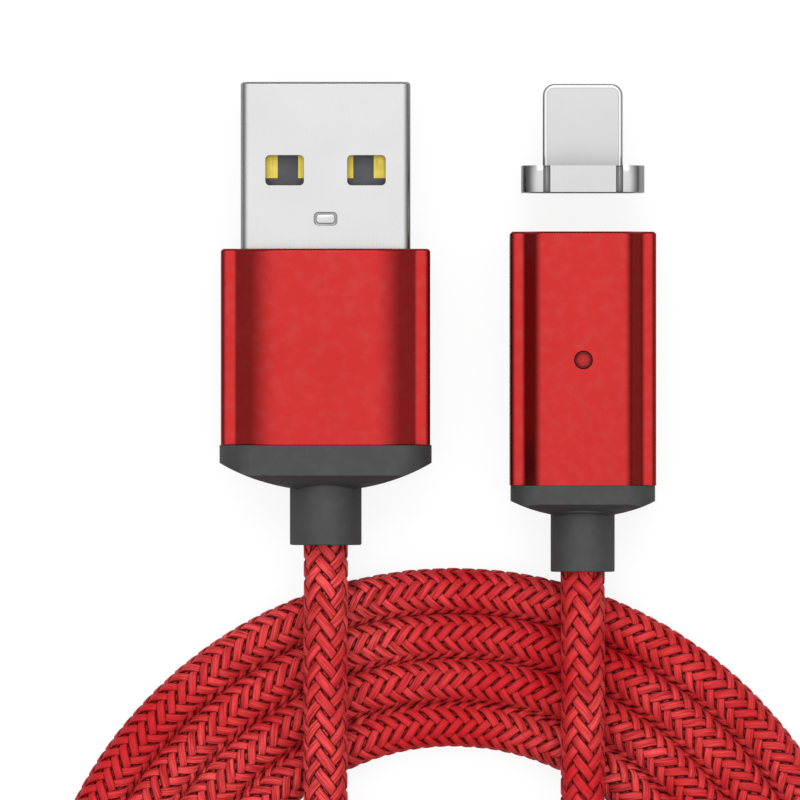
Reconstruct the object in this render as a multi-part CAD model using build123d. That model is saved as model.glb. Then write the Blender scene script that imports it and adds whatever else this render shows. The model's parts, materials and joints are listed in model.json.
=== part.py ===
"""Magnetic charging cable: a USB-A plug, a coiled braided cord, a magnetic head with sprung pins
and the small tip that stays in the phone.  Millimetres, +Z up, lying on the plane z = 0.
+Y is the way both connectors point.  The origin is under the middle of the two connectors."""

from build123d import *
import math
import os

# ---------------------------------------------------------------- driving dimensions
# The two connectors lie side by side; these two spans place them about the origin.
span_x = 30.86  # outer side of the USB end cap to outer side of the head
span_y = 34.64  # USB plug mouth to the end of the head's strain relief

# Cord
cord_diameter = 3.13
core_diameter = 2.5  # inner jacket under the braid
wire_diameter = 0.65
wire_bend = 0.5

# USB-A plug
plug_width = 12.0
plug_height = 4.5
plug_exposed = 11.8
plug_inside = 4.4  # length held in the sleeve
plug_wall = 0.3
plug_corner = 0.6
window_width = 2.7
window_length = 2.12
window_offset = 2.89  # centre to the plug's centre line
window_setback = 6.25  # centre to the plug's mouth
window_corner = 0.3
stamp_width = 1.64
stamp_length = 0.94
stamp_setback = 9.68
stamp_line = 0.17
stamp_depth = 0.2
seam_width = 0.12
seam_depth = 0.1

# Contact block inside the plug
block_height = 1.85
block_setback = 0.35
block_nose = 0.35  # chamfer on the leading edge
contact_width = 1.0
contact_thickness = 0.2
power_offset = 3.9
data_offset = 1.45
power_setback = 1.1
data_setback = 2.1
contact_overrun = 0.52  # how far the open stretch runs past the windows' centres
contact_dip = 0.8  # how far the buried stretch lies below the open one
tail_length = 1.4

# USB sleeve, aluminium
usb_collar_wall = 0.35  # moulded collar round the plug's shell
usb_side_wall = 1.05
usb_roof = 1.6
usb_sleeve_length = 13.87
usb_flat_inset = 3.1
usb_ledge_inset = 1.0
usb_ledge_drop = 1.3
usb_shoulder_radius = 4.0
usb_cavity_corner = 1.0
usb_collar_recess = 0.25
ledge_radius = 0.5
side_radius = 0.45
mouth_chamfer = 0.15

# USB rear end
usb_mould_length = 3.1
usb_crimp_length = 1.6
usb_crimp_wall = 0.5
usb_crimp_setback = 0.8
usb_cap_overhang = 0.1  # each side
usb_cap_straight = 1.25
usb_cap_length = 3.25
usb_cap_corner = 2.6
usb_neck_diameter = 5.08
usb_neck_length = 3.82
usb_neck_flange = 7.0

# Magnetic head, aluminium sleeve
head_width = 10.33
head_height = 8.2
head_sleeve_length = 17.93
head_flat_inset = 1.95
head_ledge_inset = 0.95
head_ledge_drop = 1.05
head_shoulder_radius = 0.9
head_wall = 0.75
head_roof = 1.15  # sleeve thickness over the cavity
recess_depth = 2.0

# Contacts in the head
pin_count = 5
pin_pitch = 1.2
pin_diameter = 0.5
pin_reach = 0.6  # how far a pin stands out of the carrier
pin_clearance = 0.03  # radial
collar_diameter = 0.66
collar_length = 0.9
barrel_diameter = 0.95
barrel_lip = 0.35
barrel_length = 4.5
barrel_floor = 0.5
barrel_tail_diameter = 0.4
barrel_tail_length = 1.9
spring_wire = 0.08
spring_turns = 7
carrier_length = 5.3
magnet_width = 6.4
magnet_height = 1.3
magnet_length = 3.5
magnet_offset = 1.6  # centre of each bar to the pins' plane

# Board, light and wires in the head
board_width = 7.2
board_thickness = 0.8
board_length = 6.0
board_gap = 0.3
light_setback = 9.07  # centre of the light to the head's mouth
light_diameter = 1.29
light_recess = 0.06
led_width = 1.6
led_length = 0.8
led_height = 0.6
chip_sizes = ((2.0, 1.6, 0.6, -2.2, -0.9), (1.0, 0.5, 0.35, 2.2, -0.6), (1.0, 0.5, 0.35, 2.2, 0.6))
head_mould_length = 1.8

# Head rear end
head_cap_step = 0.065  # each side
cap_undercut = 0.02  # the caps' flats lie this far inside the sleeves' flats
head_cap_straight = 1.1
head_cap_length = 2.28
head_cap_corner = 2.2
head_neck_diameter = 4.54
head_neck_length = 3.84
head_neck_flange = 6.0
neck_flange_length = 0.8
neck_rounding = 0.12

# Tip
tip_gap = 2.79  # head's mouth to the tip's back
tip_fit = 0.065  # clearance each side of the tip's base in the head's recess
tip_base_length = 1.89
tip_base_wall = 0.7
tip_base_corner = 1.3
tip_base_front = 0.4
tip_groove_inset = 0.255  # groove's centre to the line of the tongue's side
tip_groove_width = 0.5
tongue_width = 5.65
tongue_thickness = 1.5
tongue_length = 5.8
tongue_corner = 0.8
tongue_rim = 0.3
tongue_root_inset = 0.525  # each side
tongue_root_step = 0.25  # each face
tongue_edge = 0.2
tip_contact_count = 8
tip_contact_pitch = 0.55
tip_contact_width = 0.38
tip_contact_length = 2.6
tip_contact_setback = 0.9
tip_contact_thickness = 0.15
pad_pocket_clearance = 0.15  # round a pin
pad_clearance = 0.05  # from a pin's end to its pad when docked
pad_thickness = 0.15
pad_backing = 0.25

# ---------------------------------------------------------------- places worked out from them
usb_cavity_width = plug_width + 2 * usb_collar_wall
usb_cavity_height = plug_height + 2 * usb_collar_wall
usb_sleeve_width = usb_cavity_width + 2 * usb_side_wall
usb_sleeve_height = usb_cavity_height + 2 * usb_roof
usb_cap_width = usb_sleeve_width + 2 * usb_cap_overhang
usb_cap_height = usb_sleeve_height - 2 * cap_undercut
head_cap_width = head_width - 2 * head_cap_step
head_cap_height = head_height - 2 * cap_undercut

usb_x = -span_x / 2 + usb_cap_width / 2
usb_z = usb_sleeve_height / 2
head_x = span_x / 2 - head_width / 2
head_z = head_height / 2

plug_mouth_y = span_y / 2
usb_mouth_y = plug_mouth_y - plug_exposed
usb_back_y = usb_mouth_y - usb_sleeve_length
usb_cap_end_y = usb_back_y - usb_cap_length
usb_neck_end_y = usb_cap_end_y - usb_neck_length

head_neck_end_y = -span_y / 2
head_cap_end_y = head_neck_end_y + head_neck_length
head_back_y = head_cap_end_y + head_cap_length
head_mouth_y = head_back_y + head_sleeve_length
recess_floor_y = head_mouth_y - recess_depth
tip_back_y = head_mouth_y + tip_gap
tip_front_y = tip_back_y + tip_base_length
tongue_end_y = tip_front_y + tongue_length

contact_shown = window_setback + contact_overrun
block_bottom_z = usb_z - plug_height / 2 + plug_wall
block_top_z = block_bottom_z + block_height

head_cavity_width = head_width - 2 * head_wall
head_cavity_height = head_height - 2 * head_roof
tip_base_width = head_cavity_width - 2 * tip_fit
tip_base_height = head_cavity_height - 2 * tip_fit
head_cavity_corner = tip_base_corner + tip_fit
tip_groove_offset = tongue_width / 2 - tip_groove_inset
pad_pocket_diameter = pin_diameter + 2 * pad_pocket_clearance
pad_pocket_depth = pin_reach + pad_clearance
contact_plate_length = pad_pocket_depth + pad_thickness + pad_backing

pin_xs = [(i - (pin_count - 1) / 2) * pin_pitch for i in range(pin_count)]
bore_diameter = collar_diameter + 2 * pin_clearance
bore_floor_y = recess_floor_y - barrel_length + barrel_floor
collar_front_y = recess_floor_y - barrel_lip
collar_back_y = collar_front_y - collar_length
carrier_back_y = recess_floor_y - carrier_length
board_front_y = carrier_back_y - board_gap
board_back_y = board_front_y - board_length
board_top_z = head_z - barrel_tail_diameter / 2
light_y = head_mouth_y - light_setback

# ---------------------------------------------------------------- the cord's route
# Points chosen by hand.  Each lead runs from its strain relief over the coil; the turns between
# them are the two coil solids.
lead_usb_route = [
    (-7.93, -15.42, 4.2),
    (-7.93, -17.13, 4.2),
    (-7.93, -19.6, 4.82),
    (-7.95, -25.73, 4.93),
    (-7.93, -37.23, 4.9),
    (-7.95, -43.43, 4.72),
    (-7.93, -47.33, 3.35),
    (-7.75, -50.9, 2.2),
    (-6.9, -54.2, 1.7),
    (-5.1, -56.9, 1.6),
]
lead_head_route = [
    (-23.7, -68.0, 1.57),
    (-20.3, -73.6, 1.6),
    (-16.05, -78.7, 1.9),
    (-9.85, -83.0, 3.0),
    (-2.45, -84.0, 4.7),
    (4.25, -80.7, 4.98),
    (8.55, -74.5, 4.93),
    (10.2, -67.0, 4.9),
    (10.35, -59.1, 4.82),
    (10.25, -51.7, 4.72),
    (10.265, -44.8, 4.6),
    (10.25, -38.5, 4.87),
    (10.265, -28.9, 4.95),
    (10.27, -22.7, 4.9),
    (10.265, -19.9, 4.75),
    (10.265, -18.6, 4.1),
    (10.265, -17.32, 4.1),
]
coil_centre = (1.1, -47.25)
# Outlines of the coil solids, from the coil's centre: x and y of the outline's own centre, its
# half width, and its reach towards +Y and towards -Y, where the turns fan apart.
turns_outer = (0, 0, 30.1, 30.1, 36.5)
turns_hole = (0, 0, 17.55, 17.55, 20.5)
loops_outer = (-0.12, -2.5, 16.85, 15.05, 16.7)
loops_hole = (1.45, -2.4, 8.95, 8.65, 8.65)
coil_edge = 1.5

nodes = {}


# ---------------------------------------------------------------- helpers
def across(x, y, z):
    """The plane of a cross-section at y: its own x is +X, its own y is +Z, its normal is -Y."""
    return Plane((x, y, z), x_dir=(1, 0, 0), z_dir=(0, -1, 0))


def along(section, x, z, front_y, back_y):
    """A bar of this cross-section from front_y back to back_y."""
    return extrude(across(x, front_y, z) * section, amount=front_y - back_y)


def rod(diameter, x, z, front_y, back_y):
    return along(Circle(diameter / 2), x, z, front_y, back_y)


def block(width, length, height, x, y, z):
    """A box by its centre in x and y and its underside in z."""
    return Pos(x, y, z + height / 2) * Box(width, length, height)


def at(corners, x, y):
    """The corners of a section that lie at this distance from both its centre lines."""
    return [v for v in corners if abs(abs(v.X) - x) < 1e-6 and abs(abs(v.Y) - y) < 1e-6]


def fluted(width, height, flat_inset, ledge_inset, drop, shoulder_radius):
    """A sleeve's outline: flat top and bottom, a slope down to a ledge near each side."""
    half, top = width / 2, height / 2
    corners = [(half - flat_inset, top), (half - ledge_inset, top - drop), (half, top - drop)]
    right = corners + [(x, -y) for x, y in reversed(corners)]
    left = [(-x, -y) for x, y in right]
    face = make_face(Polyline(*right, *left, close=True))
    for (x, y), radius in zip(corners, (shoulder_radius, ledge_radius, side_radius)):
        face = fillet(at(face.vertices(), x, y), radius)
    return face


def end_cap(width, height, corner, straight, length, x, z, front_y):
    """A cap with a straight band, then a rear that bulges both across and up and down."""
    body = along(RectangleRounded(width, height, corner), x, z, front_y, front_y - length)
    across_depth = length - straight
    upright_depth = across_depth * height / width
    plan = Plane((x, front_y - length + across_depth, z - height))
    side = Plane((x + width, front_y - length + upright_depth, z), x_dir=(0, 0, 1), z_dir=(-1, 0, 0))
    plan = plan * bulge(width, across_depth, length)
    side = side * bulge(height, upright_depth, length)
    return body & extrude(plan, amount=2 * height) & extrude(side, amount=2 * width)


def bulge(width, depth, height):
    """A band of this height above 0, with an arc hanging below it."""
    half = width / 2
    arc = ThreePointArc((-half, 0), (0, -depth), (half, 0))
    rest = Polyline((half, 0), (half, height), (-half, height), (-half, 0))
    return make_face([arc, rest])


def wire_run(points):
    """An insulated wire through these points."""
    path = FilletPolyline(*points, radius=wire_bend)
    return sweep(Plane(path @ 0, z_dir=path % 0) * Circle(wire_diameter / 2), path=path)


def cord_run(points, name):
    """The cord as straight runs joined by arcs as large as the runs allow."""
    points = [Vector(*p) for p in points]
    radii = []
    for before, corner, after in zip(points, points[1:], points[2:]):
        turn = math.radians((corner - before).get_angle(after - corner))
        shorter = min((corner - before).length, (after - corner).length)
        radii.append(0.45 * shorter / math.tan(turn / 2))
    path = FilletPolyline(*points, radius=radii)
    tube = sweep(Plane(path @ 0, z_dir=path % 0) * Circle(cord_diameter / 2), path=path)
    section = math.pi * cord_diameter**2 / 4
    print(f"{name}: length {path.length:.2f}, radii {[round(r, 1) for r in radii]}")
    print(f"{name}: volume {tube.volume:.2f}, section x length {section * path.length:.2f}")
    return tube


def coil_face(outline):
    x, y, half_width, up, down = outline
    centre = (coil_centre[0] + x, coil_centre[1] + y)
    upper = EllipticalCenterArc(centre, half_width, up, start_angle=0, arc_size=180)
    lower = EllipticalCenterArc(centre, half_width, down, start_angle=180, arc_size=180)
    return make_face([upper, lower])


def coil_slab(outer, hole):
    """The outer shape of turns of cord lying side by side."""
    slab = extrude(coil_face(outer) - coil_face(hole), amount=cord_diameter)
    rims = slab.edges().group_by(Axis.Z)
    return fillet(rims[0] + rims[-1], coil_edge)


def wire_starts(x, z):
    """Where the four wires leave the core: a square round its centre."""
    off = core_diameter / 2 - wire_diameter - 0.15
    return [(x - off, z + off), (x - off, z - off), (x + off, z - off), (x + off, z + off)]


# ---------------------------------------------------------------- USB end
def usb_plug_shell():
    back_y = usb_mouth_y - plug_inside
    outer = RectangleRounded(plug_width, plug_height, plug_corner)
    inner = RectangleRounded(
        plug_width - 2 * plug_wall, plug_height - 2 * plug_wall, plug_corner - plug_wall
    )
    shell = along(outer, usb_x, usb_z, plug_mouth_y, back_y)
    shell = chamfer(shell.faces().sort_by(Axis.Y)[-1].edges(), plug_wall / 2)
    shell -= along(inner, usb_x, usb_z, plug_mouth_y, back_y)
    window = RectangleRounded(window_width, window_length, window_corner)
    for side in (-1, 1):
        place = Pos(usb_x + side * window_offset, plug_mouth_y - window_setback, 0)
        shell -= extrude(place * window, amount=usb_sleeve_height)
    stamp = RectangleRounded(stamp_width, stamp_length, stamp_length / 3)
    stamp -= RectangleRounded(
        stamp_width - 2 * stamp_line, stamp_length - 2 * stamp_line, stamp_length / 3 - stamp_line / 2
    )
    top_z = usb_z + plug_height / 2
    place = Pos(usb_x, plug_mouth_y - stamp_setback, top_z - stamp_depth)
    shell -= extrude(place * stamp, amount=plug_height)
    seam_z = usb_z - plug_height / 2
    length = plug_mouth_y - back_y
    shell -= block(
        seam_width, length, 2 * seam_depth, usb_x, (plug_mouth_y + back_y) / 2, seam_z - seam_depth
    )
    return shell


def usb_contact(offset, setback):
    """One strip: an open stretch on the block, a step down, a buried stretch and a tail."""
    x = usb_x + offset
    top_z = block_top_z
    front_y = plug_mouth_y - setback
    step_y = plug_mouth_y - contact_shown
    tail_y = usb_mouth_y - plug_inside - tail_length
    t = contact_thickness
    outline = Polyline(
        (front_y, top_z),
        (step_y, top_z),
        (step_y, top_z - contact_dip),
        (tail_y, top_z - contact_dip),
        (tail_y, top_z - contact_dip - t),
        (step_y + t, top_z - contact_dip - t),
        (step_y + t, top_z - t),
        (front_y, top_z - t),
        close=True,
    )
    side = Plane((x - contact_width / 2, 0, 0), x_dir=(0, 1, 0), z_dir=(1, 0, 0))
    return extrude(side * make_face(outline), amount=contact_width)


def usb_contact_block():
    front_y = plug_mouth_y - block_setback
    back_y = usb_mouth_y - plug_inside
    width = plug_width - 2 * plug_wall
    middle_y = (front_y + back_y) / 2
    body = block(width, front_y - back_y, block_height, usb_x, middle_y, block_bottom_z)
    body = chamfer(body.faces().sort_by(Axis.Y)[-1].edges().group_by(Axis.Z)[-1], block_nose)
    low = body.edges().filter_by(Axis.Y).group_by(Axis.Z)[0]
    body = fillet(low, plug_corner - plug_wall)
    rear_y = plug_mouth_y - contact_shown
    root_height = plug_height - 2 * plug_wall - block_height
    root_length = usb_mouth_y - back_y
    root = block(
        width - plug_corner, root_length, root_height, usb_x, (usb_mouth_y + back_y) / 2, block_top_z
    )
    cover = block(
        width - plug_corner, rear_y - usb_mouth_y, 0.12, usb_x, (rear_y + usb_mouth_y) / 2, block_top_z
    )
    return body + root + cover


def make_usb_end():
    nodes["usb_plug_shell"] = usb_plug_shell()
    power = [usb_contact(s * power_offset, power_setback) for s in (-1, 1)]
    data = [usb_contact(s * data_offset, data_setback) for s in (-1, 1)]
    nodes["usb_power_contacts"] = Compound(power)
    nodes["usb_data_contacts"] = Compound(data)
    body = usb_contact_block()
    for strip in power + data:
        body -= strip
    nodes["usb_contact_block"] = body

    cavity = RectangleRounded(usb_cavity_width, usb_cavity_height, usb_cavity_corner)
    outline = fluted(
        usb_sleeve_width, usb_sleeve_height, usb_flat_inset, usb_ledge_inset, usb_ledge_drop,
        usb_shoulder_radius,
    )
    sleeve = along(outline, usb_x, usb_z, usb_mouth_y, usb_back_y)
    sleeve = chamfer(sleeve.faces().sort_by(Axis.Y)[-1].edges(), mouth_chamfer)
    nodes["usb_sleeve"] = sleeve - along(cavity, usb_x, usb_z, usb_mouth_y, usb_back_y)

    shell_end_y = usb_mouth_y - plug_inside
    collar = along(cavity, usb_x, usb_z, usb_mouth_y - usb_collar_recess, shell_end_y)
    shell_hole = RectangleRounded(plug_width, plug_height, plug_corner)
    nodes["usb_shell_collar"] = collar - along(shell_hole, usb_x, usb_z, usb_mouth_y, shell_end_y)

    mould_front_y = usb_back_y + usb_mould_length
    core_front_y = mould_front_y + wire_bend / 2
    core = rod(core_diameter, usb_x, usb_z, core_front_y, usb_neck_end_y)
    crimp_front_y = mould_front_y - usb_crimp_setback
    crimp = rod(core_diameter + 2 * usb_crimp_wall, usb_x, usb_z, crimp_front_y,
                crimp_front_y - usb_crimp_length) - core
    mould = along(cavity, usb_x, usb_z, mould_front_y, usb_back_y)
    nodes["usb_inner_mould"] = mould - core - crimp
    nodes["usb_crimp_ring"] = crimp
    nodes["usb_cord_core"] = core

    tail_y = shell_end_y - tail_length
    tail_z = block_top_z - contact_dip - contact_thickness / 2
    targets = (-power_offset, -data_offset, data_offset, power_offset)
    names = ("red", "white", "green", "black")
    for name, offset, (x, z) in zip(names, targets, wire_starts(usb_x, usb_z)):
        fan = [(x, core_front_y, z), (x, core_front_y + 0.8, z),
               (usb_x + offset, tail_y - 1.0, tail_z), (usb_x + offset, tail_y, tail_z)]
        nodes[f"usb_wire_{name}"] = wire_run(fan)

    neck = make_neck(usb_neck_diameter, usb_neck_flange, usb_cap_end_y, usb_neck_end_y,
                     usb_cap_length - usb_cap_straight, usb_x, usb_z) - core
    cap = end_cap(usb_cap_width, usb_cap_height, usb_cap_corner, usb_cap_straight, usb_cap_length,
                  usb_x, usb_z, usb_back_y)
    nodes["usb_end_cap"] = cap - core - neck
    nodes["usb_strain_relief"] = neck


def make_neck(diameter, flange, cap_end_y, end_y, cap_bulge, x, z):
    """A strain relief with a flange that the cap holds."""
    flange_front_y = cap_end_y + cap_bulge
    tube = rod(diameter, x, z, flange_front_y, end_y)
    tube = fillet(tube.faces().sort_by(Axis.Y)[0].edges(), neck_rounding)
    return tube + rod(flange, x, z, flange_front_y, flange_front_y - neck_flange_length)


# ---------------------------------------------------------------- magnetic head
def make_head_shell():
    cavity = RectangleRounded(head_cavity_width, head_cavity_height, head_cavity_corner)
    outline = fluted(head_width, head_height, head_flat_inset, head_ledge_inset, head_ledge_drop,
                     head_shoulder_radius)
    sleeve = along(outline, head_x, head_z, head_mouth_y, head_back_y)
    sleeve = chamfer(sleeve.faces().sort_by(Axis.Y)[-1].edges(), mouth_chamfer)
    sleeve -= along(cavity, head_x, head_z, head_mouth_y, head_back_y)
    light_hole = Pos(head_x, light_y, head_z) * Circle(light_diameter / 2)
    nodes["head_sleeve"] = sleeve - extrude(light_hole, amount=head_height)

    mould_front_y = head_back_y + head_mould_length
    core_front_y = mould_front_y + wire_bend / 2
    core = rod(core_diameter, head_x, head_z, core_front_y, head_neck_end_y)
    nodes["head_cord_core"] = core
    nodes["head_inner_mould"] = along(cavity, head_x, head_z, mould_front_y, head_back_y) - core
    neck = make_neck(head_neck_diameter, head_neck_flange, head_cap_end_y, head_neck_end_y,
                     head_cap_length - head_cap_straight, head_x, head_z) - core
    cap = end_cap(head_cap_width, head_cap_height, head_cap_corner, head_cap_straight,
                  head_cap_length, head_x, head_z, head_back_y)
    nodes["head_end_cap"] = cap - core - neck
    nodes["head_strain_relief"] = neck

    names = ("red", "white", "green", "black")
    landing_z = board_top_z + wire_diameter / 2
    for i, (x, z) in enumerate(wire_starts(head_x, head_z)):
        pad_x = head_x + (i - 1.5) * 1.7
        fan = [(x, core_front_y, z), (x, core_front_y + 0.7, z),
               (pad_x, board_back_y + 0.1, landing_z), (pad_x, board_back_y + 1.2, landing_z)]
        nodes[f"head_wire_{names[i]}"] = wire_run(fan)


def make_pins():
    barrels = []
    for i, offset in enumerate(pin_xs, start=1):
        x = head_x + offset
        barrel = rod(barrel_diameter, x, head_z, recess_floor_y, recess_floor_y - barrel_length)
        barrel -= rod(bore_diameter, x, head_z, collar_front_y, bore_floor_y)
        barrel -= rod(pin_diameter + 2 * pin_clearance, x, head_z, recess_floor_y, collar_front_y)
        tail_front_y = recess_floor_y - barrel_length
        barrel += rod(barrel_tail_diameter, x, head_z, tail_front_y, tail_front_y - barrel_tail_length)
        barrels.append(barrel)
        pin = rod(pin_diameter, x, head_z, recess_floor_y + pin_reach, collar_back_y)
        pin = fillet(pin.faces().sort_by(Axis.Y)[-1].edges(), pin_diameter * 0.45)
        pin += rod(collar_diameter, x, head_z, collar_front_y - 0.01, collar_back_y)
        nodes[f"contact_pin_{i}"] = pin
        nodes[f"pin_spring_{i}"] = pin_spring(x)
    nodes["pin_barrels"] = Compound(barrels)
    return barrels


def pin_spring(x):
    """A coil spring between the pin's collar and the bore's floor."""
    mean_radius = bore_diameter / 2 - spring_wire
    front_y = collar_back_y - spring_wire / 2 - 0.01
    back_y = bore_floor_y + spring_wire / 2
    length = front_y - back_y
    helix = Helix(pitch=length / spring_turns, height=length, radius=mean_radius)
    coil = sweep(Plane(helix @ 0, z_dir=helix % 0) * Circle(spring_wire / 2), path=helix)
    return Plane((x, back_y, head_z), x_dir=(1, 0, 0), z_dir=(0, 1, 0)) * coil


def make_head_inside():
    barrels = make_pins()
    section = RectangleRounded(head_cavity_width, head_cavity_height, head_cavity_corner)
    carrier = along(section, head_x, head_z, recess_floor_y, carrier_back_y)
    for name, side in (("upper", 1), ("lower", -1)):
        bar = along(Rectangle(magnet_width, magnet_height), head_x, head_z + side * magnet_offset,
                    recess_floor_y, recess_floor_y - magnet_length)
        carrier -= bar
        nodes[f"head_magnet_{name}"] = bar
    for offset in pin_xs:
        carrier -= rod(barrel_diameter, head_x + offset, head_z, recess_floor_y,
                       recess_floor_y - barrel_length)
        carrier -= rod(barrel_tail_diameter, head_x + offset, head_z, recess_floor_y, carrier_back_y)
    nodes["contact_carrier"] = carrier

    middle_y = (board_front_y + board_back_y) / 2
    nodes["head_board"] = block(board_width, board_length, board_thickness, head_x, middle_y,
                                board_top_z - board_thickness)
    nodes["light_chip"] = block(led_width, led_length, led_height, head_x, light_y, board_top_z)
    lens_z = board_top_z + led_height
    lens_length = head_height - light_recess - lens_z
    lens = Pos(head_x, light_y, lens_z) * extrude(Circle(light_diameter / 2), amount=lens_length)
    nodes["light_lens"] = fillet(lens.faces().sort_by(Axis.Z)[-1].edges(), 0.12)
    chips = [block(w, l, h, head_x + x, middle_y + y, board_top_z) for w, l, h, x, y in chip_sizes]
    nodes["board_components"] = Compound(chips)


# ---------------------------------------------------------------- tip
def make_tip():
    width, height = tip_base_width, tip_base_height
    base = along(RectangleRounded(width, height, tip_base_corner), head_x, head_z,
                 tip_front_y, tip_back_y)
    groove_side = tip_groove_width / math.sqrt(2)
    groove = Rot(0, 0, 45) * Rectangle(groove_side, groove_side)
    for side in (-1, 1):
        for face in (-1, 1):
            z = head_z + face * height / 2
            base -= along(groove, head_x + side * tip_groove_offset, z, tip_front_y, tip_back_y)
    pocket = RectangleRounded(width - 2 * tip_base_wall, height - 2 * tip_base_wall,
                              tip_base_corner - tip_base_wall)
    base -= along(pocket, head_x, head_z, tip_front_y - tip_base_front, tip_back_y)

    low_z = head_z - tongue_thickness / 2
    outline = rounded_end(tongue_width, tongue_length, tongue_corner)
    frame = extrude(Pos(head_x, tip_front_y, low_z) * outline, amount=tongue_thickness)
    edges = [e for e in frame.edges() if abs(e.center().Z - head_z) > tongue_thickness / 2 - 1e-6]
    edges = [e for e in edges if e.center().Y > tip_front_y + 0.1]
    frame = fillet(edges, tongue_edge)
    outline = rounded_end(tongue_width - 2 * tongue_rim, tongue_length - tongue_rim,
                          tongue_corner - tongue_rim)
    insert = extrude(Pos(head_x, tip_front_y, low_z) * outline, amount=tongue_thickness)
    root = Rectangle(tongue_width - 2 * tongue_root_inset, tongue_thickness - 2 * tongue_root_step)
    root = along(root, head_x, head_z, tip_front_y, tip_front_y - tip_base_front)
    nodes["tip_base"] = base - root
    nodes["tip_tongue_frame"] = frame - insert
    contacts = [tip_contact(i) for i in range(tip_contact_count)]
    insert += root
    for strip in contacts:
        insert -= strip
    nodes["tip_tongue_insert"] = insert
    nodes["tip_contacts"] = Compound(contacts)

    plate_front_y = tip_back_y + contact_plate_length
    plate = along(pocket, head_x, head_z, plate_front_y, tip_back_y)
    pads = []
    for offset in pin_xs:
        x = head_x + offset
        floor_y = tip_back_y + pad_pocket_depth
        plate -= rod(pad_pocket_diameter, x, head_z, floor_y + pad_thickness, tip_back_y)
        pads.append(rod(pad_pocket_diameter, x, head_z, floor_y + pad_thickness, floor_y))
    nodes["tip_contact_plate"] = plate
    nodes["tip_pads"] = Compound(pads)
    nodes["tip_board"] = along(pocket, head_x, head_z, tip_front_y - tip_base_front, plate_front_y)


def rounded_end(width, length, corner):
    """A tongue in plan from y = 0, square there and rounded at its far end."""
    face = Pos(0, length / 2, 0) * Rectangle(width, length)
    return fillet(face.vertices().group_by(Axis.Y)[-1], corner)


def tip_contact(i):
    x = head_x + (i - (tip_contact_count - 1) / 2) * tip_contact_pitch
    y = tongue_end_y - tip_contact_setback - tip_contact_length / 2
    z = head_z - tongue_thickness / 2
    return block(tip_contact_width, tip_contact_length, tip_contact_thickness, x, y, z)


# ---------------------------------------------------------------- cord
def make_cord():
    nodes["cord_lead_usb"] = cord_run(lead_usb_route, "cord_lead_usb")
    nodes["cord_lead_head"] = cord_run(lead_head_route, "cord_lead_head")
    nodes["cord_coil"] = coil_slab(turns_outer, turns_hole)
    nodes["cord_inner_loops"] = coil_slab(loops_outer, loops_hole)


make_usb_end()
make_head_shell()
make_head_inside()
make_tip()
make_cord()

os.makedirs("parts", exist_ok=True)
for name, shape in nodes.items():
    export_step(shape, f"parts/{name}.step")
print(f"{len(nodes)} nodes")
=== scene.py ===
# %% [markdown]
# # A magnetic charging cable
#
# The real object is a USB-A plug and a magnetic head, each in a red anodised sleeve, joined by about a
# metre of braided cord that lies in a coil.  A small steel tip, which stays in the phone, waits in front
# of the head.  The hard pieces already exist as a measured CAD model, so this notebook doesn't draw them
# again.  It loads them, rounds the edges that catch the light, gives every piece its finish, and makes by
# hand what CAD leaves plain: above all the braid.

# %% Load the measured model
import json
import math

import bmesh
import bpy
import numpy as np
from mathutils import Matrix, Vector

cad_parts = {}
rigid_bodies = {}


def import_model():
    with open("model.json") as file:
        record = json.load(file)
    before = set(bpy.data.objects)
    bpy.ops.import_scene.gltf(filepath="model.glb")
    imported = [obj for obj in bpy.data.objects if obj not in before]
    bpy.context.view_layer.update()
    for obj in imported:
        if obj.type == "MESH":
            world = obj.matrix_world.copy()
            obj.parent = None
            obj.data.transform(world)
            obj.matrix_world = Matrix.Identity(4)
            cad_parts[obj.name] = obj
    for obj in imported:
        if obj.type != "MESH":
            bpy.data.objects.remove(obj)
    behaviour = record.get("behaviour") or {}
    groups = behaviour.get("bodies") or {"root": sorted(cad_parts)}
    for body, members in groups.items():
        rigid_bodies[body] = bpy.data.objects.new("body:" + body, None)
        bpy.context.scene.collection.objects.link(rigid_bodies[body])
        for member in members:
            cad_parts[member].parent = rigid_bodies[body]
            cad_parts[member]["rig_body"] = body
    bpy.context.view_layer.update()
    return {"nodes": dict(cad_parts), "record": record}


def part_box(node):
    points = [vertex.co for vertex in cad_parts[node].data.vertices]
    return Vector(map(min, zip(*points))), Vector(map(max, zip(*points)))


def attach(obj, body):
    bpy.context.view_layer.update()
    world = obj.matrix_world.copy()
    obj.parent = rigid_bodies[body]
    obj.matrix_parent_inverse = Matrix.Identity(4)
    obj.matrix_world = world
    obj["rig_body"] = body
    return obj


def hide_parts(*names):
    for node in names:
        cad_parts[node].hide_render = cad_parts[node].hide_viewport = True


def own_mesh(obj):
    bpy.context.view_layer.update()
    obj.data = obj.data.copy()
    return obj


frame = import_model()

MM = 0.001  # Blender works in metres here, and small sizes read better as so many millimetres
nodes = frame["nodes"]

# %% [markdown]
# ## The camera
#
# The cable is looked at from straight above, and the sides of both sleeves are upright, so an ordinary
# lens would show them leaning outwards.  An orthographic camera would remove that, but the turning views
# need a perspective one.  A very long lens from far away gives nearly the same flat picture.

# %% Camera
LENS = 600  # mm, on a sensor SENSOR mm wide
SENSOR = 36
VIEW_WIDTH = 56.6 * MM
VIEW_HEIGHT_ABOVE_FLOOR = 5 * MM  # where the picture is exactly VIEW_WIDTH wide
LEFT_MARGIN = 15.54 * MM  # from the picture's left edge to the USB end
TOP_MARGIN = 5.82 * MM  # from the picture's top edge to the plug's mouth


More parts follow.
